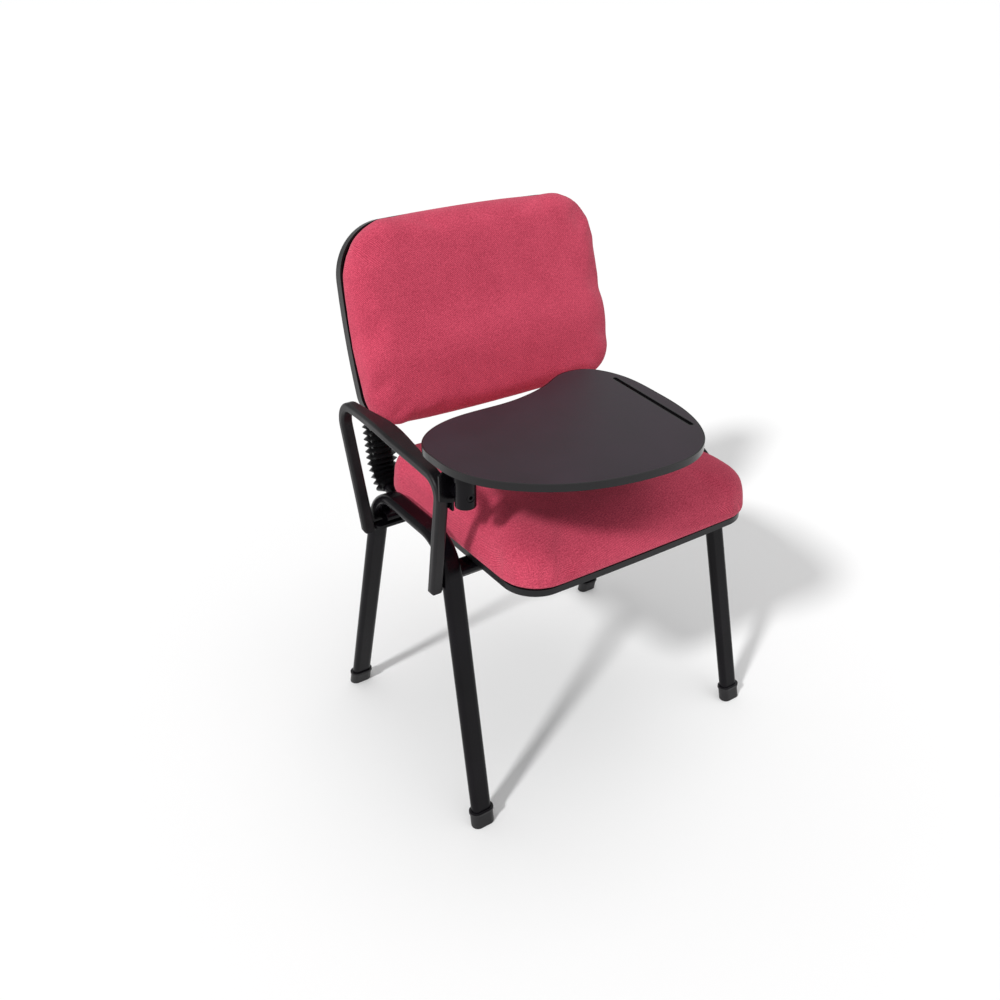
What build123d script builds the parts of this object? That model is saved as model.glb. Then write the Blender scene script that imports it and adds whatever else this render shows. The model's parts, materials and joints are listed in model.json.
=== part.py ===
from build123d import *
import math
import os

# Stacking conference chair with a padded seat and back, and one arm that carries a writing tablet.
# Millimetres. +Z is up, the chair faces -Y, and +X is the sitter's left.
# The origin lies on the floor, centred between the four feet.

os.makedirs("parts", exist_ok=True)

# ---- driving dimensions -------------------------------------------------------------------------

# side frames: one flat-oval tube each, bent to an inverted U
tube_wide = 32.0            # across the chair
tube_thick = 16.0           # in the plane of the bend
tube_wall = 1.5
foot_x = 257.25             # tube centre at the floor, from the mid plane
frame_lean = 0.030          # inward lean per unit of height
front_foot_y = -200.5
rear_foot_y = 203.7
front_rake = 0.2316         # rearward run of the front leg per unit of height
rear_rake = 0.2565          # forward run of the rear leg per unit of height
rail_z = 436.0
rail_bend_r = 62.0
leg_bottom_z = 4.0
cap_height = 25.0
cap_wall = 2.4

# under-seat structure
strap_z = 377.0             # underside of the arm straps
strap_thick = 5.0
cross_tube_z = strap_z + strap_thick + tube_thick / 2
cross_tube_y = (-98.0, 92.0)
bolt_y = (-95.0, 88.0)
bolt_x = 170.0
bolt_r = 3.0
bolt_hole_r = 3.3
head_r = 5.8
head_height = 4.0

# seat
shell_floor_z = strap_z + strap_thick + tube_thick
shell_wall = 3.0
rim_low_z = 400.0
rim_high_z = 410.0
seat_half_width = 210.0
seat_front_y = -235.0
seat_rear_y = 144.0
seat_front_r = 50.0
seat_rear_r = 45.0
seat_bow = 3.0              # how far the front and rear edges bow out
board_inset = 26.0
cushion_gap = 0.3
seat_cushion_top_z = 474.0
seat_cushion_bulge = 6.0

# back uprights and their concertina covers
upright_x = 192.0
upright_wide = 30.0
upright_thick = 15.0
upright_z = cross_tube_z
upright_elbow_y = 186.0
upright_low_v = -20.0       # the upright meets the back's slope here, and ends higher up
upright_high_v = 130.0
upright_radii = (48.0, 150.0)
bellows_ribs = 12
bellows_start = 0.19        # where the cover starts and ends, as fractions of the upright's length
bellows_end = 0.575
bellows_peak = (26.0, 16.5)
bellows_root = (19.0, 10.5)
bellows_bore_gap = 0.4

# backrest, on a plane that leans back
back_tilt = 15.0
back_base_y = 168.0
back_base_z = 520.0
back_low = -24.0
back_high = 290.0
back_half_width = 231.0
back_widest_v = 110.0
back_low_half_width = 227.0
back_top_half_width = 221.0
back_bow = 5.0              # how far the top and bottom edges bow out
back_top_r = 88.0
back_low_r = 56.0
back_cushion_depth = 40.0
back_board_thick = 10.0
back_shell_depth = 31.0
back_shell_side = 16.0
back_rim_inset = 2.0
back_plate_inset = 22.0
back_board_inset = 26.0
back_bolt_v = (40.0, 110.0)
spacer_r = 9.0

# armrest, on the sitter's right
arm_x = -274.0
arm_points = ((84.0, 368.0), (148.0, 568.0), (8.0, 575.5), (-140.0, 557.5), (-110.0, 368.0))
arm_radii = (30.0, 300.0, 26.0)
arm_thick = 14.0
post_wide = 18.0
pad_wide = 29.0
pad_reach_y = (-122.0, 112.0)           # where the wide top has narrowed to the posts' width
arm_edge_r = 4.5
pad_line = ((-112.0, 563.0), (8.0, 576.5), (122.0, 571.0))    # parting line under the pad
pad_cut_height = 14.0

# tablet mechanism and writing tablet
hub_x = -256.0
hub_y = -167.0
hub_r = 14.0
hub_bottom_z = 532.0
hub_top_z = 592.0
pin_z = 549.0
pin_r = 4.0
running_gap = 0.05
face_gap = 0.3
shaft_r = 7.0
bush_r = 9.5
plate_thick = 2.6
bracket_y = -145.5          # rear face of the bracket's front plate
bracket_thick = 3.0
tablet_thick = 10.0
tablet_top_z = 610.0
band_wide = 2.0
tablet_outline_points = (
    (-298, -150), (-276, -102), (-222, -77), (-128, -74), (-35, -46), (16, -29), (53, -62),
    (64, -148), (47, -252), (-8, -325), (-96, -337), (-228, -292), (-289, -222),
)
pen_tray_centre = (38.5, -177.5)
pen_tray_length = 186.0
pen_tray_wide = 10.0
pen_tray_depth = 5.0
pen_tray_angle = 84.3


def finish(builder, label):
    """Names a finished piece and writes it."""
    builder.part.label = label
    export_step(builder.part, f"parts/{label}.step")


def frame_x(z):
    """Distance of the side frame's centre from the mid plane at a height."""
    return foot_x - frame_lean * z


# ---- side frames --------------------------------------------------------------------------------

def bent_frame(side, wide, thick):
    """One side's inverted U, solid, running past the floor at both ends."""
    plane = Plane(origin=(side * foot_x, 0, 0), x_dir=(0, 1, 0), z_dir=(1, 0, side * frame_lean))
    low = -20.0
    with BuildPart() as frame:
        with BuildLine(plane) as path:
            FilletPolyline(
                (front_foot_y + front_rake * low, low),
                (front_foot_y + front_rake * rail_z, rail_z),
                (rear_foot_y - rear_rake * rail_z, rail_z),
                (rear_foot_y - rear_rake * low, low),
                radius=rail_bend_r,
            )
        with BuildSketch(Plane(origin=path.line @ 0, x_dir=plane.z_dir, z_dir=path.line % 0)):
            SlotOverall(wide, thick)
        sweep(path=path.line)
        split(bisect_by=Plane.XY.offset(leg_bottom_z), keep=Keep.TOP)
    return frame


frame_envelope = {side: bent_frame(side, tube_wide, tube_thick) for side in (1, -1)}

for side, name in ((1, "side_frame_left"), (-1, "side_frame_right")):
    bore = bent_frame(side, tube_wide - 2 * tube_wall, tube_thick - 2 * tube_wall)
    with BuildPart() as side_frame:
        add(frame_envelope[side].part)
        add(bore.part, mode=Mode.SUBTRACT)
    finish(side_frame, name)

# ---- foot caps ----------------------------------------------------------------------------------

for side, side_name in ((1, "left"), (-1, "right")):
    for end_name, foot_y, rake in (
        ("front", front_foot_y, front_rake),
        ("rear", rear_foot_y, -rear_rake),
    ):
        with BuildPart() as foot_cap:
            for z in (0.0, cap_height):
                with BuildSketch(Plane((side * frame_x(z), foot_y + rake * z, z))):
                    SlotOverall(tube_wide + 2 * cap_wall, tube_thick + 2 * cap_wall)
            loft()
            fillet(foot_cap.faces().sort_by(Axis.Z)[0].edges(), 1.5)
            lip_z = cap_height - 3.5
            with BuildSketch(Plane((side * frame_x(lip_z), foot_y + rake * lip_z, lip_z))):
                SlotOverall(tube_wide + 2 * cap_wall + 2.4, tube_thick + 2 * cap_wall + 2.4)
            extrude(amount=3.5)
            add(frame_envelope[side].part, mode=Mode.SUBTRACT)
        finish(foot_cap, f"foot_cap_{end_name}_{side_name}")

# ---- cross tubes under the seat -----------------------------------------------------------------

cross_half = frame_x(cross_tube_z)
frame_inner_x = cross_half - tube_wide / 2
for name, tube_y, hole_y in (
    ("front_cross_tube", cross_tube_y[0], bolt_y[0]),
    ("rear_cross_tube", cross_tube_y[1], bolt_y[1]),
):
    with BuildPart() as cross_tube:
        with BuildSketch(Plane.YZ):
            with Locations((tube_y, cross_tube_z)):
                SlotOverall(tube_wide, tube_thick)
                SlotOverall(tube_wide - 2 * tube_wall, tube_thick - 2 * tube_wall, mode=Mode.SUBTRACT)
        extrude(amount=cross_half, both=True)
        for envelope in frame_envelope.values():
            add(envelope.part, mode=Mode.SUBTRACT)
        with Locations((-bolt_x, hole_y, cross_tube_z), (bolt_x, hole_y, cross_tube_z)):
            Cylinder(bolt_hole_r, 2 * tube_thick, mode=Mode.SUBTRACT)
    finish(cross_tube, name)

with BuildPart() as rear_tube_envelope:
    with BuildSketch(Plane.YZ):
        with Locations((cross_tube_y[1], cross_tube_z)):
            SlotOverall(tube_wide, tube_thick)
    extrude(amount=cross_half, both=True)

# ---- back uprights, their end plugs and their concertina covers ---------------------------------

back_sin = math.sin(math.radians(back_tilt))
back_cos = math.cos(math.radians(back_tilt))
back_plane = Plane(
    origin=(0, back_base_y, back_base_z), x_dir=(1, 0, 0), z_dir=(0, -back_cos, back_sin)
)
upright_front = back_shell_depth + 0.3      # depth of the upright's front face


def back_point(v, depth):
    """Where a point of the back's slope lies, as (y, z), at a depth behind the back plane."""
    return (
        back_base_y + v * back_sin + depth * back_cos,
        back_base_z + v * back_cos - depth * back_sin,
    )


def upright_path(side):
    """The centre line of one upright: back from the cross tube, then up along the back."""
    depth = upright_front + upright_thick / 2
    with BuildLine(Plane.YZ.offset(side * upright_x)) as path:
        FilletPolyline(
            (cross_tube_y[1] + tube_wide / 4, upright_z),
            (upright_elbow_y, upright_z),
            back_point(upright_low_v, depth),
            back_point(upright_high_v, depth),
            radius=upright_radii,
        )
    return path.line


def upright_solid(side, wide, thick):
    """One upright's bar with a flat-oval section."""
    path = upright_path(side)
    with BuildPart() as bar:
        with BuildSketch(Plane(origin=path @ 0, x_dir=(1, 0, 0), z_dir=path % 0)):
            SlotOverall(wide, thick)
        sweep(path=path)
    return bar


with BuildPart() as upright_plugs:
    for side in (1, -1):
        path = upright_path(side)
        with BuildSketch(Plane(origin=path @ 1, x_dir=(1, 0, 0), z_dir=path % 1)):
            SlotOverall(upright_wide, upright_thick)
        extrude(amount=3.0)
        with BuildSketch(Plane(origin=path @ 1, x_dir=(1, 0, 0), z_dir=path % 1)):
            SlotOverall(upright_wide - 2 * tube_wall, upright_thick - 2 * tube_wall)
        extrude(amount=-12.0)
finish(upright_plugs, "upright_plugs")

for side, side_name in ((1, "left"), (-1, "right")):
    outer = upright_solid(side, upright_wide, upright_thick)
    bore = upright_solid(side, upright_wide - 2 * tube_wall, upright_thick - 2 * tube_wall)
    with BuildPart() as upright:
        add(outer.part)
        add(bore.part, mode=Mode.SUBTRACT)
        add(rear_tube_envelope.part, mode=Mode.SUBTRACT)
        with BuildSketch(back_plane.offset(-upright_front - upright_thick / 2)):
            with Locations(*[(side * upright_x, v) for v in back_bolt_v]):
                Circle(bolt_hole_r)
        extrude(amount=upright_thick, both=True, mode=Mode.SUBTRACT)
    finish(upright, f"back_upright_{side_name}")

    clear = upright_solid(
        side, upright_wide + 2 * bellows_bore_gap, upright_thick + 2 * bellows_bore_gap
    )
    path = upright_path(side)
    with BuildPart() as bellows:
        for i in range(2 * bellows_ribs + 1):
            at = bellows_start + (bellows_end - bellows_start) * i / (2 * bellows_ribs)
            half_wide, half_deep = bellows_peak if i % 2 else bellows_root
            with BuildSketch(Plane(origin=path @ at, x_dir=(1, 0, 0), z_dir=path % at)):
                Ellipse(half_wide, half_deep)
        loft(ruled=True)
        add(clear.part, mode=Mode.SUBTRACT)
    finish(bellows, f"bellows_{side_name}")

# ---- seat ---------------------------------------------------------------------------------------

def seat_outline(grow=0.0):
    """The seat's plan, bowed a little at the front and rear, grown or inset by a distance."""
    side_x = seat_half_width + grow
    front_y = seat_front_y - grow
    rear_y = seat_rear_y + grow
    with BuildSketch() as outline:
        with BuildLine():
            ThreePointArc((-side_x, front_y), (0, front_y - seat_bow), (side_x, front_y))
            Line((side_x, front_y), (side_x, rear_y))
            ThreePointArc((side_x, rear_y), (0, rear_y + seat_bow), (-side_x, rear_y))
            Line((-side_x, rear_y), (-side_x, front_y))
        make_face()
        fillet(outline.vertices().group_by(Axis.Y)[0], seat_front_r + grow)
        fillet(outline.vertices().group_by(Axis.Y)[-1], seat_rear_r + grow)
    return outline.sketch


def seat_dish(inset, floor_z):
    """The seat pan's filled form: a sloping underside with an upright rim."""
    rim_z = rim_low_z + floor_z - shell_floor_z
    with BuildPart() as dish:
        with BuildSketch(Plane.XY.offset(floor_z)):
            add(seat_outline(-22.0 - inset))
        with BuildSketch(Plane.XY.offset(rim_z)):
            add(seat_outline(-inset))
        loft()
        with BuildSketch(Plane.XY.offset(rim_z)):
            add(seat_outline(-inset))
        extrude(amount=rim_high_z - rim_z)
    return dish


bolt_spots = [(x, y) for x in (-bolt_x, bolt_x) for y in bolt_y]
pan_outer = seat_dish(0.0, shell_floor_z)
pan_inner = seat_dish(shell_wall, shell_floor_z + shell_wall)

with BuildPart() as seat_shell:
    add(pan_outer.part)
    add(pan_inner.part, mode=Mode.SUBTRACT)
    with Locations(*[(x, y, shell_floor_z) for x, y in bolt_spots]):
        Cylinder(bolt_hole_r, 4 * shell_wall, mode=Mode.SUBTRACT)
finish(seat_shell, "seat_shell")

nut_flange = 1.0
nut_barrel_r = 4.5
nut_flange_r = 9.0
board_low_z = shell_floor_z + shell_wall
with BuildPart() as seat_board:
    with BuildSketch(Plane.XY.offset(board_low_z)):
        add(seat_outline(-board_inset))
    extrude(amount=rim_high_z - board_low_z)
    with BuildSketch(Plane.XY.offset(board_low_z)):
        with Locations(*bolt_spots):
            Circle(nut_barrel_r)
    extrude(amount=rim_high_z - board_low_z, mode=Mode.SUBTRACT)
    with BuildSketch(Plane.XY.offset(rim_high_z)):
        with Locations(*bolt_spots):
            Circle(nut_flange_r)
    extrude(amount=-nut_flange, mode=Mode.SUBTRACT)
finish(seat_board, "seat_board")

with BuildPart() as seat_tee_nuts:
    with BuildSketch(Plane.XY.offset(board_low_z + 1)):
        with Locations(*bolt_spots):
            Circle(nut_barrel_r)
            Circle(bolt_r, mode=Mode.SUBTRACT)
    extrude(amount=rim_high_z - board_low_z - 1)
    with BuildSketch(Plane.XY.offset(rim_high_z)):
        with Locations(*bolt_spots):
            Circle(nut_flange_r)
            Circle(bolt_r, mode=Mode.SUBTRACT)
    extrude(amount=-nut_flange)
finish(seat_tee_nuts, "seat_tee_nuts")

with BuildPart() as seat_cushion:
    with BuildSketch(Plane.XY.offset(rim_high_z + cushion_gap)):
        add(seat_outline(seat_cushion_bulge))
    extrude(amount=seat_cushion_top_z - rim_high_z - cushion_gap)
    fillet(seat_cushion.faces().sort_by(Axis.Z)[-1].edges(), 28.0)
    fillet(seat_cushion.faces().sort_by(Axis.Z)[0].edges(), 10.0)
finish(seat_cushion, "seat_cushion")


def hex_bolts(spots, head_low_z):
    """Hexagon-head bolts that stand up from under the cross tubes."""
    with BuildPart() as bolts:
        with BuildSketch(Plane.XY.offset(head_low_z)):
            with Locations(*spots):
                RegularPolygon(head_r, 6)
        extrude(amount=head_height)
        with BuildSketch(Plane.XY.offset(head_low_z + head_height)):
            with Locations(*spots):
                Circle(bolt_r)
        extrude(amount=rim_high_z - head_low_z - head_height)
    return bolts


finish(hex_bolts([(bolt_x, y) for y in bolt_y], strap_z + strap_thick - head_height), "seat_bolts")
finish(hex_bolts([(-bolt_x, y) for y in bolt_y], strap_z - head_height), "arm_bolts")

# ---- backrest -----------------------------------------------------------------------------------

def back_outline(inset=0.0):
    """The backrest's front view, with large top corners, inset by a distance."""
    low_x = back_low_half_width - inset
    wide_x = back_half_width - inset
    high_x = back_top_half_width - inset
    low_v = back_low + inset
    high_v = back_high - inset
    with BuildSketch() as outline:
        with BuildLine():
            ThreePointArc((-low_x, low_v + back_bow), (0, low_v), (low_x, low_v + back_bow))
            ThreePointArc(
                (low_x, low_v + back_bow), (wide_x, back_widest_v), (high_x, high_v - back_bow)
            )
            ThreePointArc((high_x, high_v - back_bow), (0, high_v), (-high_x, high_v - back_bow))
            ThreePointArc(
                (-high_x, high_v - back_bow), (-wide_x, back_widest_v), (-low_x, low_v + back_bow)
            )
        make_face()
        fillet(outline.vertices().group_by(Axis.Y)[-1], back_top_r - inset)
        fillet(outline.vertices().group_by(Axis.Y)[0], back_low_r - inset)
    return outline.sketch


def back_dish(inset, face_depth):
    """The back cover's filled form: upright sides, then a slope to a flat rear plate."""
    with BuildPart() as dish:
        with BuildSketch(back_plane.offset(-cushion_gap)):
            add(back_outline(back_rim_inset + inset))
        extrude(amount=-(back_shell_side - cushion_gap - inset))
        with BuildSketch(back_plane.offset(-(back_shell_side - inset))):
            add(back_outline(back_rim_inset + inset))
        with BuildSketch(back_plane.offset(-face_depth)):
            add(back_outline(back_plate_inset + inset))
        loft()
    return dish


back_spots = [(side * upright_x, v) for side in (-1, 1) for v in back_bolt_v]
cover_outer = back_dish(0.0, back_shell_depth)
cover_inner = back_dish(shell_wall, back_shell_depth - shell_wall)

with BuildPart() as back_shell:
    add(cover_outer.part)
    add(cover_inner.part, mode=Mode.SUBTRACT)
    with BuildSketch(back_plane.offset(-back_shell_depth)):
        with Locations(*back_spots):
            Circle(bolt_hole_r)
    extrude(amount=2 * shell_wall, both=True, mode=Mode.SUBTRACT)
finish(back_shell, "back_shell")

with BuildPart() as back_board:
    with BuildSketch(back_plane.offset(-cushion_gap)):
        add(back_outline(back_board_inset))
        with Locations(*back_spots):
            Circle(nut_barrel_r, mode=Mode.SUBTRACT)
    extrude(amount=-back_board_thick)
finish(back_board, "back_board")

board_rear = cushion_gap + back_board_thick
with BuildPart() as back_tee_nuts:
    with BuildSketch(back_plane.offset(-cushion_gap)):
        with Locations(*back_spots):
            Circle(nut_barrel_r)
            Circle(bolt_r, mode=Mode.SUBTRACT)
    extrude(amount=-back_board_thick)
finish(back_tee_nuts, "back_tee_nuts")

with BuildPart() as back_spacers:
    with BuildSketch(back_plane.offset(-board_rear)):
        with Locations(*back_spots):
            Circle(spacer_r)
            Circle(bolt_hole_r, mode=Mode.SUBTRACT)
    extrude(amount=-(back_shell_depth - shell_wall - board_rear))
finish(back_spacers, "back_spacers")

with BuildPart() as back_bolts:
    with BuildSketch(back_plane.offset(-(upright_front + upright_thick))):
        with Locations(*back_spots):
            RegularPolygon(head_r, 6)
    extrude(amount=-head_height)
    with BuildSketch(back_plane.offset(-(upright_front + upright_thick))):
        with Locations(*back_spots):
            Circle(bolt_r)
    extrude(amount=upright_front + upright_thick - cushion_gap)
finish(back_bolts, "back_bolts")

with BuildPart() as back_cushion:
    with BuildSketch(back_plane):
        add(back_outline())
    extrude(amount=back_cushion_depth)
    front_face = back_cushion.faces().sort_by(Axis.Y)[0]
    fillet(front_face.edges(), 18.0)
finish(back_cushion, "back_cushion")

# ---- armrest ------------------------------------------------------------------------------------

arm_plane = Plane.YZ.offset(arm_x)
with BuildLine(arm_plane) as arm_line:
    FilletPolyline(*arm_points, radius=arm_radii)


# the posts and the top in one: a band that follows the loop, wide at the middle of the top
with BuildPart() as arm_form:
    arm_path = arm_line.line
    with BuildSketch(Plane(origin=arm_path @ 0, x_dir=(1, 0, 0), z_dir=arm_path % 0)):
        Rectangle(2 * pad_wide, arm_thick)
    sweep(path=arm_path)
    with BuildSketch(Plane.XY.offset(strap_z - 2.5)):
        with BuildLine():
            front_y, rear_y = pad_reach_y
            for side in (-1, 1):
                narrow_x = arm_x + side * post_wide / 2
                wide_x = arm_x + side * pad_wide / 2
                Spline(
                    (narrow_x, front_y), (wide_x, (front_y + rear_y) / 2), (narrow_x, rear_y),
                    tangents=((0, 1), (0, 1)),
                )
                Line((narrow_x, front_y - 30), (narrow_x, front_y))
                Line((narrow_x, rear_y), (narrow_x, rear_y + 40))
            for end_y in (front_y - 30, rear_y + 40):
                Line((arm_x - post_wide / 2, end_y), (arm_x + post_wide / 2, end_y))
        make_face()
    extrude(amount=arm_points[2][1] - strap_z + 20, mode=Mode.INTERSECT)
    fillet([edge for edge in arm_form.edges() if abs((edge @ 0.5).X - arm_x) > 8], arm_edge_r)

with BuildPart() as pad_layer:
    with BuildSketch(arm_plane):
        with BuildLine():
            ThreePointArc(*pad_line)
            Line(pad_line[2], (pad_line[2][0], pad_line[2][1] + pad_cut_height))
            ThreePointArc(*reversed([(y, z + pad_cut_height) for y, z in pad_line]))
            Line((pad_line[0][0], pad_line[0][1] + pad_cut_height), pad_line[0])
        make_face()
    extrude(amount=pad_wide, both=True)

# steel straps that carry the arm under the side rail to the cross tubes
strap_wide = 20.0
strap_root = 5.0            # half width inside the post's end
strap_jog = 6.0             # length of the step beside the post, clear of the leg
strap_inner_x = -150.0
post_inner_x = arm_x + post_wide / 2
post_outer_x = arm_x - post_wide / 2
strap_tip_x = post_inner_x - 12.0


def arm_strap(post_y, near_y, hole_y):
    """A flat strap: a narrow tongue in the post's end, a jog, and a wide run under the seat."""
    with BuildPart() as strap:
        with BuildSketch(Plane.XY.offset(strap_z)):
            with BuildLine():
                Polyline(
                    (strap_tip_x, post_y - strap_root), (post_inner_x, post_y - strap_root),
                    (post_inner_x + strap_jog, near_y), (strap_inner_x, near_y),
                    (strap_inner_x, near_y + strap_wide), (-frame_inner_x, near_y + strap_wide),
                    (post_inner_x, post_y + strap_root), (strap_tip_x, post_y + strap_root),
                    close=True,
                )
            make_face()
            with Locations((-bolt_x, hole_y)):
                Circle(bolt_hole_r, mode=Mode.SUBTRACT)
        extrude(amount=strap_thick)
    return strap


front_strap = arm_strap(-112.0, -104.0, bolt_y[0])
rear_strap = arm_strap(88.0, 75.0, bolt_y[1])
finish(front_strap, "arm_strap_front")
finish(rear_strap, "arm_strap_rear")

bracket_screw_spots = ((-135.0, 526.0), (-137.0, 540.0))
bracket_screw_r = 2.0
with BuildPart() as armrest_loop:
    add(arm_form.part)
    add(pad_layer.part, mode=Mode.SUBTRACT)
    add(front_strap.part, mode=Mode.SUBTRACT)
    add(rear_strap.part, mode=Mode.SUBTRACT)
    with BuildSketch(Plane.YZ.offset(post_inner_x)):
        with Locations(*bracket_screw_spots):
            Circle(bracket_screw_r)
    extrude(amount=-11.0, mode=Mode.SUBTRACT)
finish(armrest_loop, "armrest_loop")

with BuildPart() as armrest_pad:
    add(arm_form.part)
    add(pad_layer.part, mode=Mode.INTERSECT)
finish(armrest_pad, "armrest_pad")

# ---- tablet bracket, pin and hub ----------------------------------------------------------------

pin_spot = (hub_x, pin_z)
bracket_front = bracket_y - bracket_thick
hub_boss_y = hub_y + hub_r              # rear of the hub's bearing boss
ear_front = hub_boss_y + face_gap

# Plane.XZ looks along +Y, so its offset is towards -Y
with BuildPart() as tablet_bracket:
    with BuildSketch(Plane.XZ.offset(-bracket_y)):
        with BuildLine():
            Polyline(
                (post_outer_x, 573), (arm_x + 6, 584), (hub_x + 6, 584), (hub_x + 6, 560),
                (post_inner_x + bracket_thick, 529), (post_outer_x, 537), close=True,
            )
        make_face()
        with Locations(pin_spot):
            Circle(12.0)
            Circle(pin_r, mode=Mode.SUBTRACT)
    extrude(amount=bracket_thick)
    with BuildSketch(Plane.XZ.offset(-bracket_front)):
        with Locations(pin_spot):
            Circle(11.0)
            Circle(pin_r, mode=Mode.SUBTRACT)
    extrude(amount=bracket_front - ear_front)
    with BuildSketch(Plane.YZ.offset(post_inner_x)):
        with BuildLine():
            Polyline(
                (bracket_front, 518), (bracket_front, 549), (-128, 549), (-127, 518), close=True
            )
        make_face()
        with Locations(*bracket_screw_spots):
            Circle(bracket_screw_r, mode=Mode.SUBTRACT)
    extrude(amount=bracket_thick)
finish(tablet_bracket, "tablet_bracket")

with BuildPart() as bracket_screws:
    with BuildSketch(Plane.YZ.offset(post_inner_x + bracket_thick)):
        with Locations(*bracket_screw_spots):
            Circle(3.6)
    extrude(amount=2.2)
    with BuildSketch(Plane.YZ.offset(post_inner_x + bracket_thick)):
        with Locations(*bracket_screw_spots):
            Circle(bracket_screw_r)
    extrude(amount=-(11.0 + bracket_thick))
finish(bracket_screws, "bracket_screws")

head_seat_y = hub_y - hub_r + 5.0       # bottom of the recess for the pin's head
with BuildPart() as tilt_pin:
    with BuildSketch(Plane.XZ.offset(-head_seat_y)):
        with Locations(pin_spot):
            Circle(5.6)
            RegularPolygon(2.9, 6, mode=Mode.SUBTRACT)
    extrude(amount=4.0)
    with BuildSketch(Plane.XZ.offset(-head_seat_y)):
        with Locations(pin_spot):
            Circle(pin_r)
    extrude(amount=head_seat_y - (bracket_y + 7.0))
finish(tilt_pin, "tilt_pin")

with BuildPart() as tilt_nut:
    with BuildSketch(Plane.XZ.offset(-bracket_y)):
        with Locations(pin_spot):
            RegularPolygon(5.7, 6)
            Circle(pin_r, mode=Mode.SUBTRACT)
    extrude(amount=-5.5)
finish(tilt_nut, "tilt_nut")

bore_bottom_z = pin_z + pin_r + 3.0
step_zs = ((570.0, 15.5), (578.0, 17.0))
with BuildPart() as hub_housing:
    with BuildSketch(Plane.XY.offset(hub_bottom_z)):
        with Locations((hub_x, hub_y)):
            Circle(hub_r)
    extrude(amount=hub_top_z - hub_bottom_z)
    fillet(hub_housing.faces().sort_by(Axis.Z)[0].edges(), 1.5)
    for step_z, step_r in step_zs:
        with BuildSketch(Plane.XY.offset(step_z)):
            with Locations((hub_x, hub_y)):
                Circle(step_r)
        extrude(amount=hub_top_z - step_z)
    with BuildSketch(Plane.XZ.offset(-hub_boss_y)):
        with Locations(pin_spot):
            Circle(11.0)
    extrude(amount=hub_r)
    with BuildSketch(Plane.XY.offset(bore_bottom_z)):
        with Locations((hub_x, hub_y)):
            Circle(bush_r)
    extrude(amount=hub_top_z - bore_bottom_z, mode=Mode.SUBTRACT)
    with BuildSketch(Plane.XZ.offset(-hub_y)):
        with Locations(pin_spot):
            Circle(pin_r + running_gap)
    extrude(amount=2 * hub_r, both=True, mode=Mode.SUBTRACT)
    with BuildSketch(Plane.XZ.offset(-(head_seat_y + running_gap))):
        with Locations(pin_spot):
            Circle(6.0)
    extrude(amount=hub_r, mode=Mode.SUBTRACT)
finish(hub_housing, "hub_housing")

with BuildPart() as swivel_bush:
    with BuildSketch(Plane.XY.offset(bore_bottom_z)):
        with Locations((hub_x, hub_y)):
            Circle(bush_r)
            Circle(shaft_r + running_gap, mode=Mode.SUBTRACT)
    extrude(amount=hub_top_z - bore_bottom_z)
finish(swivel_bush, "swivel_bush")

# ---- writing tablet -----------------------------------------------------------------------------

tablet_low_z = tablet_top_z - tablet_thick
plate_low_z = tablet_low_z - plate_thick
with BuildPart() as swivel_shaft:
    with BuildSketch(Plane.XY.offset(bore_bottom_z + 1)):
        with Locations((hub_x, hub_y)):
            Circle(shaft_r)
    extrude(amount=plate_low_z - bore_bottom_z - 1)
    with BuildSketch(Plane.XY.offset(hub_top_z + face_gap)):
        with Locations((hub_x, hub_y)):
            Circle(22.0)
    extrude(amount=plate_low_z - hub_top_z - face_gap)
finish(swivel_shaft, "swivel_shaft")

plate_centre = (-245.0, -175.0)
plate_size = (90.0, 80.0)
screw_grid = (70.0, 62.0)
plate_plane = Plane((plate_centre[0], plate_centre[1], plate_low_z))
screw_r = 2.0
with BuildPart() as tablet_plate:
    with BuildSketch(plate_plane):
        RectangleRounded(*plate_size, 8.0)
        with GridLocations(*screw_grid, 2, 2):
            Circle(screw_r, mode=Mode.SUBTRACT)
    extrude(amount=plate_thick)
finish(tablet_plate, "tablet_plate")

with BuildPart() as plate_screws:
    with BuildSketch(plate_plane):
        with GridLocations(*screw_grid, 2, 2):
            Circle(3.8)
    extrude(amount=-2.0)
    with BuildSketch(plate_plane):
        with GridLocations(*screw_grid, 2, 2):
            Circle(screw_r)
    extrude(amount=plate_thick + 8.0)
finish(plate_screws, "plate_screws")


def tablet_outline(inset=0.0):
    """The tablet's kidney-shaped plan, drawn clockwise, inset by a distance."""
    steps = 2 * len(tablet_outline_points)
    edge = Spline(*tablet_outline_points, periodic=True)
    inset_points = [
        edge.position_at(i / steps) + inset * edge.tangent_at(i / steps).rotate(Axis.Z, -90)
        for i in range(steps)
    ]
    with BuildSketch() as outline:
        with BuildLine():
            Spline(*inset_points, periodic=True)
        make_face()
    return outline.sketch


tray_location = Location(pen_tray_centre, pen_tray_angle)

with BuildPart() as tablet_board:
    with BuildSketch(Plane.XY.offset(tablet_low_z)):
        add(tablet_outline(band_wide))
    extrude(amount=tablet_thick)
    with BuildSketch(plate_plane.offset(plate_thick)):
        with GridLocations(*screw_grid, 2, 2):
            Circle(screw_r)
    extrude(amount=8.0, mode=Mode.SUBTRACT)
    with BuildSketch(Plane.XY.offset(tablet_top_z)):
        with Locations(tray_location):
            SlotOverall(pen_tray_length, pen_tray_wide)
    extrude(amount=-pen_tray_depth, mode=Mode.SUBTRACT)
finish(tablet_board, "tablet_board")

with BuildPart() as tablet_edge_band:
    with BuildSketch(Plane.XY.offset(tablet_low_z)):
        add(tablet_outline())
    extrude(amount=tablet_thick)
    with BuildSketch(Plane.XY.offset(tablet_low_z)):
        add(tablet_outline(band_wide))
    extrude(amount=tablet_thick, mode=Mode.SUBTRACT)
finish(tablet_edge_band, "tablet_edge_band")

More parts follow.
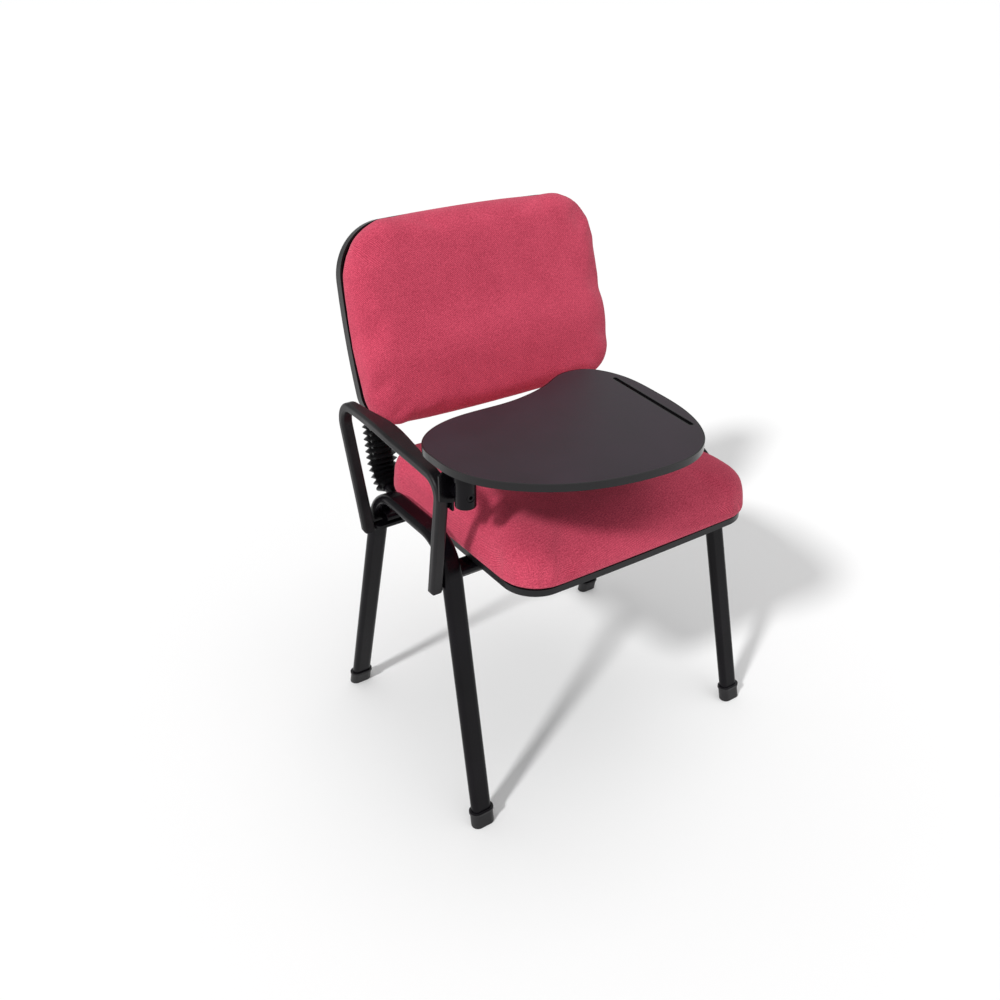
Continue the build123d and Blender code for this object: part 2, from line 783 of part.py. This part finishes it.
with BuildPart() as pen_tray:
    with BuildSketch(Plane.XY.offset(tablet_top_z - pen_tray_depth)):
        with Locations(tray_location):
            SlotOverall(pen_tray_length, pen_tray_wide)
    extrude(amount=pen_tray_depth)
    with BuildSketch(Plane.XY.offset(tablet_top_z)):
        with Locations(tray_location):
            SlotOverall(pen_tray_length - 4, pen_tray_wide - 3.5)
    extrude(amount=-3.4, mode=Mode.SUBTRACT)
finish(pen_tray, "pen_tray")
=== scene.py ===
import json
import math

import bpy
import numpy as np
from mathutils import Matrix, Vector


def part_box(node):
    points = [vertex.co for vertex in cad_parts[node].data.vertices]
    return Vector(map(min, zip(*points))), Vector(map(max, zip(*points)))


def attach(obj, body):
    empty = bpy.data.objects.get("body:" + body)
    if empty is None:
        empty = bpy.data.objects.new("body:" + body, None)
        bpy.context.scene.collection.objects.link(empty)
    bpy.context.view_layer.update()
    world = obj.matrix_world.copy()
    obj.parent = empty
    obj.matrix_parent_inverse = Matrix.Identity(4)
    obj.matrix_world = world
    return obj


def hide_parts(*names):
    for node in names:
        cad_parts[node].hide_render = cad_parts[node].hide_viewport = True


# A stacking classroom chair with a padded seat and back, a loop armrest and a folding writing tablet.
# Metres. +Z is up and the chair faces -Y. The frame holds every CAD piece, at rest.

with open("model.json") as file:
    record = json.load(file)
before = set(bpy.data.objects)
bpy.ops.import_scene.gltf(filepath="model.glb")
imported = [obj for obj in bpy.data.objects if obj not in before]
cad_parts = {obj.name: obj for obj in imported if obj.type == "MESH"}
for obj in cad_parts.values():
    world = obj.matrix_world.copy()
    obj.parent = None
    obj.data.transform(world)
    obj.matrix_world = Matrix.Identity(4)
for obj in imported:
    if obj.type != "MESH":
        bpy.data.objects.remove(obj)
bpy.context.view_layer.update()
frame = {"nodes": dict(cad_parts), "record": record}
nodes = frame["nodes"]

MM = 0.001
VOXEL = 5 * MM              # size of the remesh under each cushion
SWELL_CAP = 7 * MM          # how far the simulation may move a point
HELD_LAYER = 5 * MM         # the layer of a cushion that is fixed to its board
PRESSURE = 4
EDGE_ROLL = 12 * MM         # depth over which the weave turns down the cushion's sides
WAVE_PHASE = 20             # radians that a wave texture gains along an axis, per unit of scaled length


# ---- shader helpers -----------------------------------------------------------------------------

def add_node(material, kind, inputs=None, **settings):
    """Adds a shader node, with its settings, and fills or links its inputs."""
    made = material.node_tree.nodes.new(kind)
    for name, value in settings.items():
        setattr(made, name, value)
    for name, value in (inputs or {}).items():
        if isinstance(value, bpy.types.NodeSocket):
            material.node_tree.links.new(value, made.inputs[name])
        else:
            made.inputs[name].default_value = value
    return made


def new_material(name, **values):
    """A node material with plain values on its Principled shader."""
    material = bpy.data.materials.new(name)
    material.use_nodes = True
    shader = material.node_tree.nodes["Principled BSDF"]
    for socket, value in values.items():
        shader.inputs[socket.replace("_", " ")].default_value = value
    return material


def shader_of(material):
    return material.node_tree.nodes["Principled BSDF"]


def drive(material, socket, source):
    """Links a node's output to an input of the material's shader."""
    material.node_tree.links.new(source, shader_of(material).inputs[socket])


def place(material):
    """The point being shaded, in metres in the chair's own frame."""
    return add_node(material, "ShaderNodeTexCoord").outputs["Object"]


def noise_at(material, where, size, detail=3.0, roughness=0.55):
    """Smooth noise whose features are about a size across, from 0 to 1."""
    made = add_node(
        material, "ShaderNodeTexNoise",
        {"Vector": where, "Scale": 1 / size, "Detail": detail, "Roughness": roughness},
    )
    return made.outputs["Fac"]


def remap(material, value, low, high, to_low, to_high):
    """Maps one range of a value to another, and stays inside it."""
    made = add_node(
        material, "ShaderNodeMapRange",
        {"Value": value, "From Min": low, "From Max": high, "To Min": to_low, "To Max": to_high},
    )
    return made.outputs["Result"]


def calculate(material, operation, a, b):
    """A math node on two values."""
    made = add_node(material, "ShaderNodeMath", operation=operation)
    for socket, value in zip(made.inputs, (a, b)):
        if isinstance(value, bpy.types.NodeSocket):
            material.node_tree.links.new(value, socket)
        else:
            socket.default_value = value
    return made.outputs["Value"]


def weighted_sum(material, *terms):
    """The sum of (value, weight) terms."""
    total = None
    for value, weight in terms:
        part = calculate(material, "MULTIPLY", value, weight)
        total = part if total is None else calculate(material, "ADD", total, part)
    return total


def two_colours(material, value, dark, light, low=0.0, high=1.0):
    """A colour that runs from dark to light as a value runs from low to high."""
    ramp = add_node(material, "ShaderNodeValToRGB", {"Fac": value})
    ramp.color_ramp.elements[0].position = low
    ramp.color_ramp.elements[0].color = (*dark, 1)
    ramp.color_ramp.elements[1].position = high
    ramp.color_ramp.elements[1].color = (*light, 1)
    return ramp.outputs["Color"]


def add_bump(material, *layers):
    """Stacks bump layers, each a (height, distance in metres, strength), on the shader's normal."""
    normal = None
    for height, distance, strength in layers:
        inputs = {"Height": height, "Distance": distance, "Strength": strength}
        if normal:
            inputs["Normal"] = normal
        normal = add_node(material, "ShaderNodeBump", inputs).outputs["Normal"]
    drive(material, "Normal", normal)


# ---- materials ----------------------------------------------------------------------------------

def speckled(name, dark, light, grain, roughness, grain_depth, patch=0.06, **values):
    """A moulded or coated surface: fine grain, faint larger patches, uneven gloss."""
    material = new_material(name, **values)
    where = place(material)
    fine = noise_at(material, where, grain, 2.0)
    broad = noise_at(material, where, patch, 4.0)
    mixed = weighted_sum(material, (fine, 0.45), (broad, 0.55))
    drive(material, "Base Color", two_colours(material, mixed, dark, light, 0.35, 0.65))
    drive(
        material, "Roughness",
        remap(material, mixed, 0.35, 0.65, roughness - 0.05, roughness + 0.06),
    )
    add_bump(material, (fine, grain_depth, 1.0))
    return material


def twill_fabric(name, dark, light, thread=1.3 * MM, line=3.4 * MM):
    """Dense crepe upholstery: crossed threads, a faint diagonal line and a heathered colour."""
    material = new_material(name, Roughness=0.92)
    shader = shader_of(material)
    shader.inputs["Specular IOR Level"].default_value = 0.15
    shader.inputs["Sheen Weight"].default_value = 0.22
    shader.inputs["Sheen Roughness"].default_value = 0.45
    shader.inputs["Sheen Tint"].default_value = (1.0, 0.55, 0.62, 1)
    weave = add_node(material, "ShaderNodeUVMap", uv_map="weave").outputs["UV"]
    where = place(material)
    wobble = add_node(
        material, "ShaderNodeTexNoise", {"Vector": where, "Scale": 1 / (6 * MM), "Detail": 2.0}
    ).outputs["Color"]
    bent = add_node(
        material, "ShaderNodeVectorMath",
        {0: weave, 1: add_node(
            material, "ShaderNodeVectorMath", {0: wobble, 1: (0.8 * MM,) * 3}, operation="MULTIPLY"
        ).outputs["Vector"]},
        operation="ADD",
    ).outputs["Vector"]

    def bands(direction, pitch, phase):
        """Threads or lines a pitch apart."""
        return add_node(
            material, "ShaderNodeTexWave",
            {"Vector": bent, "Scale": 2 * math.pi / phase / pitch, "Distortion": 0.0},
            wave_type="BANDS", bands_direction=direction, wave_profile="SIN",
        ).outputs["Fac"]

    warp = bands("X", thread, WAVE_PHASE)
    weft = bands("Y", thread, WAVE_PHASE)
    twill = bands("DIAGONAL", line, WAVE_PHASE / 2)
    fleck = noise_at(material, where, 1.6 * MM, 2.0, 0.7)
    cloud = noise_at(material, where, 45 * MM, 3.0)
    threads = calculate(material, "MAXIMUM", warp, weft)
    tone = weighted_sum(material, (fleck, 0.58), (twill, 0.16), (threads, 0.16), (cloud, 0.10))
    drive(material, "Base Color", two_colours(material, tone, dark, light, 0.36, 0.74))
    add_bump(
        material,
        (cloud, 1.2 * MM, 0.4), (twill, 0.15 * MM, 0.8), (threads, 0.25 * MM, 0.8),
        (fleck, 0.5 * MM, 0.7),
    )
    return material


def plywood(name):
    """Birch plywood: long grain with thin darker plies through the thickness."""
    material = new_material(name, Roughness=0.6)
    where = place(material)
    stretched = add_node(
        material, "ShaderNodeMapping", {"Vector": where, "Scale": (8.0, 90.0, 90.0)}
    ).outputs["Vector"]
    grain = add_node(
        material, "ShaderNodeTexNoise", {"Vector": stretched, "Scale": 4.0, "Detail": 6.0}
    ).outputs["Fac"]
    plies = add_node(
        material, "ShaderNodeTexWave", {"Vector": where, "Scale": 2 * math.pi / WAVE_PHASE / (3 * MM)},
        wave_type="BANDS", bands_direction="Z",
    ).outputs["Fac"]
    tone = weighted_sum(material, (grain, 0.7), (plies, 0.3))
    drive(
        material, "Base Color",
        two_colours(material, tone, (0.34, 0.19, 0.09), (0.72, 0.53, 0.32), 0.3, 0.7),
    )
    add_bump(material, (grain, 0.3 * MM, 0.5))
    return material


def plated_steel(name):
    """Zinc-plated hardware with a slight directional scratch."""
    material = new_material(name, Metallic=1.0, Roughness=0.32)
    where = place(material)
    scratch = add_node(
        material, "ShaderNodeTexNoise",
        {
            "Vector": add_node(
                material, "ShaderNodeMapping", {"Vector": where, "Scale": (1.0, 12.0, 1.0)}
            ).outputs["Vector"],
            "Scale": 400.0, "Detail": 3.0,
        },
    ).outputs["Fac"]
    drive(
        material, "Base Color",
        two_colours(material, scratch, (0.34, 0.34, 0.35), (0.62, 0.61, 0.58), 0.3, 0.7),
    )
    drive(material, "Roughness", remap(material, scratch, 0.3, 0.7, 0.26, 0.42))
    add_bump(material, (scratch, 0.05 * MM, 0.6))
    return material


def laminate(name):
    """The tablet's satin top: a dark plum-grey laminate with a fine pearl texture."""
    material = new_material(name, Specular_IOR_Level=0.32)
    where = place(material)
    pearl = noise_at(material, where, 0.9 * MM, 2.0, 0.6)
    drift = noise_at(material, where, 70 * MM, 3.0)
    tone = weighted_sum(material, (pearl, 0.4), (drift, 0.6))
    drive(
        material, "Base Color",
        two_colours(material, tone, (0.016, 0.0095, 0.0155), (0.028, 0.018, 0.027), 0.35, 0.65),
    )
    drive(material, "Roughness", remap(material, tone, 0.35, 0.65, 0.34, 0.44))
    add_bump(material, (pearl, 0.06 * MM, 0.8))
    return material


crimson = twill_fabric("crimson_fabric", (0.30, 0.016, 0.044), (0.88, 0.120, 0.200))
frame_paint = speckled(
    "frame_paint", (0.0014, 0.0011, 0.0018), (0.0048, 0.0038, 0.0058), 0.9 * MM, 0.24, 0.03 * MM,
    Specular_IOR_Level=0.15,
)
arm_plastic = speckled(
    "arm_plastic", (0.0050, 0.0045, 0.0052), (0.0130, 0.0118, 0.0135), 0.8 * MM, 0.40, 0.12 * MM,
    patch=0.03, Specular_IOR_Level=0.24,
)
trim_plastic = speckled(
    "trim_plastic", (0.0040, 0.0040, 0.0046), (0.0090, 0.0090, 0.0105), 1.0 * MM, 0.34, 0.06 * MM,
    Specular_IOR_Level=0.25,
)
foot_plastic = speckled(
    "foot_plastic", (0.0060, 0.0055, 0.0065), (0.0140, 0.0130, 0.0150), 1.2 * MM, 0.42, 0.10 * MM,
    patch=0.02, Specular_IOR_Level=0.35,
)
bellows_rubber = speckled(
    "bellows_rubber", (0.0028, 0.0028, 0.0032), (0.0056, 0.0056, 0.0064), 1.5 * MM, 0.22, 0.03 * MM,
    Specular_IOR_Level=0.42,
)
tablet_edging = speckled(
    "tablet_edging", (0.0030, 0.0026, 0.0034), (0.0060, 0.0054, 0.0065), 0.8 * MM, 0.20, 0.03 * MM,
    Specular_IOR_Level=0.35,
)
nylon = speckled("nylon", (0.55, 0.54, 0.50), (0.68, 0.67, 0.62), 1.0 * MM, 0.40, 0.04 * MM)
tablet_laminate = laminate("tablet_laminate")
hardware = plated_steel("plated_steel")
inner_board = plywood("plywood")

finish_of_slot = {
    "frame_paint": frame_paint,
    "plated_steel": hardware,
    "foot_plastic": foot_plastic,
    "trim_plastic": trim_plastic,
    "bellows_rubber": bellows_rubber,
    "plywood": inner_board,
    "cushion_fabric": crimson,
    "arm_plastic": arm_plastic,
    "nylon": nylon,
    "tablet_laminate": tablet_laminate,
    "tablet_edging": tablet_edging,
}
for subpart in frame["record"]["subparts"]:
    shown = nodes[subpart["node"]]
    for slot in shown.material_slots:
        slot.material = finish_of_slot[subpart["material_slot"]]


# ---- mesh helpers -------------------------------------------------------------------------------

def add_object(name, mesh):
    made = bpy.data.objects.new(name, mesh)
    bpy.context.scene.collection.objects.link(made)
    return made


def applied_mesh(piece):
    """The piece's mesh with its modifiers applied; the modifiers are removed."""
    graph = bpy.context.evaluated_depsgraph_get()
    mesh = bpy.data.meshes.new_from_object(piece.evaluated_get(graph))
    piece.modifiers.clear()
    piece.data = mesh
    return mesh


def points_of(mesh):
    points = np.empty(len(mesh.vertices) * 3)
    mesh.vertices.foreach_get("co", points)
    return points.reshape(-1, 3)


def set_points(mesh, points):
    mesh.vertices.foreach_set("co", points.ravel())
    mesh.update()


# ---- cushions -----------------------------------------------------------------------------------

class PadFrame:
    """A cushion's own axes: across, up the face, and out of the face from the board it lies on."""

    def __init__(self, origin, up, out):
        self.origin = np.array(origin)
        self.axes = np.array([(1.0, 0.0, 0.0), up, out])

    def local(self, points):
        return (points - self.origin) @ self.axes.T

    def world(self, points):
        return points @ self.axes + self.origin


def swell(pad, held, cap, pressure, steps=20):
    """Blows the pad up as cloth with its held vertices fixed, and moves no point past the cap."""
    rest = points_of(pad.data)
    group = pad.vertex_groups.new(name="held")
    group.add([int(i) for i in np.flatnonzero(held)], 1.0, "REPLACE")
    cloth = pad.modifiers.new("cloth", "CLOTH")
    cloth.settings.vertex_group_mass = "held"
    cloth.settings.use_pressure = True
    cloth.settings.uniform_pressure_force = pressure
    cloth.settings.tension_stiffness = 15
    cloth.settings.compression_stiffness = 15
    cloth.settings.bending_stiffness = 1.5
    cloth.settings.effector_weights.gravity = 0
    cloth.point_cache.frame_start = 1
    cloth.point_cache.frame_end = steps
    for step in range(1, steps + 1):
        bpy.context.scene.frame_set(step)
    graph = bpy.context.evaluated_depsgraph_get()
    blown = pad.evaluated_get(graph).to_mesh()
    moved = points_of(blown) - rest
    pad.evaluated_get(graph).to_mesh_clear()
    pad.modifiers.remove(cloth)
    pad.vertex_groups.remove(group)
    bpy.context.scene.frame_set(1)
    length = np.linalg.norm(moved, axis=1, keepdims=True)
    moved *= cap * np.tanh(length / cap) / np.maximum(length, 1e-9)
    set_points(pad.data, rest + moved)


def map_weave(mesh, axes, edge_drop):
    """Lays the weave over the pad as cloth pulled over its edge: flat on the face, on down the sides."""
    points = axes.local(points_of(mesh))
    normals = np.empty(len(mesh.vertices) * 3)
    mesh.vertices.foreach_get("normal", normals)
    normals = normals.reshape(-1, 3) @ axes.axes.T
    drop = np.maximum(points[:, 2].max() - edge_drop - points[:, 2], 0.0)
    flat = points[:, :2] + normals[:, :2] * drop[:, None]
    layer = mesh.uv_layers.new(name="weave")
    corners = np.empty(len(mesh.loops), dtype=np.int32)
    mesh.loops.foreach_get("vertex_index", corners)
    layer.data.foreach_set("uv", flat[corners].ravel())


def smoothstep(value, low, high):
    share = np.clip((value - low) / (high - low), 0.0, 1.0)
    return share * share * (3 - 2 * share)


def make_pad(name, node, axes, shape):
    """A cushion swollen from its CAD solid: remeshed, shaped, blown up as cloth, smoothed."""
    pad = add_object(name, nodes[node].data.copy())
    remesh = pad.modifiers.new("remesh", "REMESH")
    remesh.mode = "VOXEL"
    remesh.voxel_size = VOXEL
    applied_mesh(pad)
    points = axes.local(points_of(pad.data))
    set_points(pad.data, axes.world(shape(points)))
    held = axes.local(points_of(pad.data))[:, 2] < points[:, 2].min() + HELD_LAYER
    swell(pad, held, SWELL_CAP, PRESSURE)
    smooth = pad.modifiers.new("smooth", "SMOOTH")
    smooth.factor = 0.5
    smooth.iterations = 8
    finer = pad.modifiers.new("finer", "SUBSURF")
    finer.levels = 1
    finer.render_levels = 1
    mesh = applied_mesh(pad)
    mesh.shade_smooth()
    map_weave(mesh, axes, EDGE_ROLL)
    mesh.materials.clear()
    mesh.materials.append(crimson)
    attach(pad, "chair")
    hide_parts(node)
    return pad


def shape_seat(points):
    """Crowns the seat, lets its front fall away and rounds its sides."""
    shaped = points.copy()
    low = points.min(0)
    high = points.max(0)
    middle = (low + high) / 2
    half = (high - low) / 2
    across = (points[:, 0] - middle[0]) / half[0]
    along = (points[:, 1] - middle[1]) / half[1]
    height = (points[:, 2] - low[2]) / (high[2] - low[2])
    crown = 7 * MM * (1 - across ** 2) * (1 - along ** 4)
    waterfall = 10 * MM * smoothstep(-along, 0.55, 1.05)
    shaped[:, 2] += height * (crown - waterfall)
    return shaped


def shape_back(points):
    """Fills the back out to its rim, with a full lumbar region below a slight waist."""
    shaped = points.copy()
    low = points.min(0)
    high = points.max(0)
    across = points[:, 0] / high[0]
    up = (points[:, 1] - low[1]) / (high[1] - low[1])
    height = (points[:, 2] - low[2]) / (high[2] - low[2])
    crown = 6 * MM * (1 - across ** 2) * (1 - (2 * up - 1) ** 4)
    lumbar = 11 * MM * np.exp(-(((up - 0.36) / 0.15) ** 2)) * (1 - 0.5 * across ** 2)
    shaped[:, 2] += height * (crown + lumbar)
    waist = 3.0 * MM * np.exp(-(((up - 0.47) / 0.04) ** 2)) * smoothstep(np.abs(across), 0.8, 1.0)
    rim = 3.5 * MM * np.minimum(1.0, 3 * height)
    shaped[:, 0] += across * (rim - waist * height)
    shaped[:, 1] += (2 * up - 1) * rim
    return shaped


seat_low, seat_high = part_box("seat_cushion")
seat_axes = PadFrame((0, 0, seat_low.z), (0, 1, 0), (0, 0, 1))

back_tilt = math.radians(15)
board_low, board_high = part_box("back_board")
back_up = (0, math.sin(back_tilt), math.cos(back_tilt))
back_out = (0, -math.cos(back_tilt), math.sin(back_tilt))
back_axes = PadFrame((0, board_low.y, board_low.z), back_up, back_out)

make_pad("seat_pad", "seat_cushion", seat_axes, shape_seat)
make_pad("back_pad", "back_cushion", back_axes, shape_back)


# ---- floor, light and camera --------------------------------------------------------------------

def make_floor():
    """A plain pale floor, wide enough to fill the view."""
    mesh = bpy.data.meshes.new("floor")
    half = 60.0
    mesh.from_pydata(
        [(-half, -half, 0), (half, -half, 0), (half, half, 0), (-half, half, 0)], [], [(0, 1, 2, 3)]
    )
    floor = add_object("floor", mesh)
    mesh.materials.append(new_material("floor", Base_Color=(0.93, 0.93, 0.93, 1), Roughness=0.9))


def add_sun(name, toward, spread, strength):
    """A far light from a direction, with a spread in degrees that softens its shadows."""
    data = bpy.data.lights.new(name, "SUN")
    data.angle = math.radians(spread)
    data.energy = strength
    light = bpy.data.objects.new(name, data)
    bpy.context.scene.collection.objects.link(light)
    light.rotation_euler = Vector(toward).to_track_quat("Z", "Y").to_euler()


def make_world(strength):
    world = bpy.data.worlds.new("studio")
    world.use_nodes = True
    background = world.node_tree.nodes["Background"]
    background.inputs["Color"].default_value = (1, 1, 1, 1)
    background.inputs["Strength"].default_value = strength
    bpy.context.scene.world = world


def make_camera(place_at, heading, drop, focal):
    """A camera that looks to the right of +Y by a heading and below level by a drop, in degrees."""
    data = bpy.data.cameras.new("camera")
    data.sensor_width = 36
    data.lens = focal
    data.clip_end = 100
    camera = bpy.data.objects.new("camera", data)
    bpy.context.scene.collection.objects.link(camera)
    camera.location = place_at
    camera.rotation_euler = (math.radians(90 - drop), 0, math.radians(-heading))
    bpy.context.scene.camera = camera


make_floor()
make_world(0.52)
add_sun("key", (-0.78, -0.28, 0.66), 6, 2.1)
add_sun("overhead", (0.1, -0.1, 1.0), 40, 0.55)
make_camera((-0.8332, -1.1055, 1.1584), 33.864, 29.31, 35.91)
bpy.context.scene.view_settings.view_transform = "Standard"
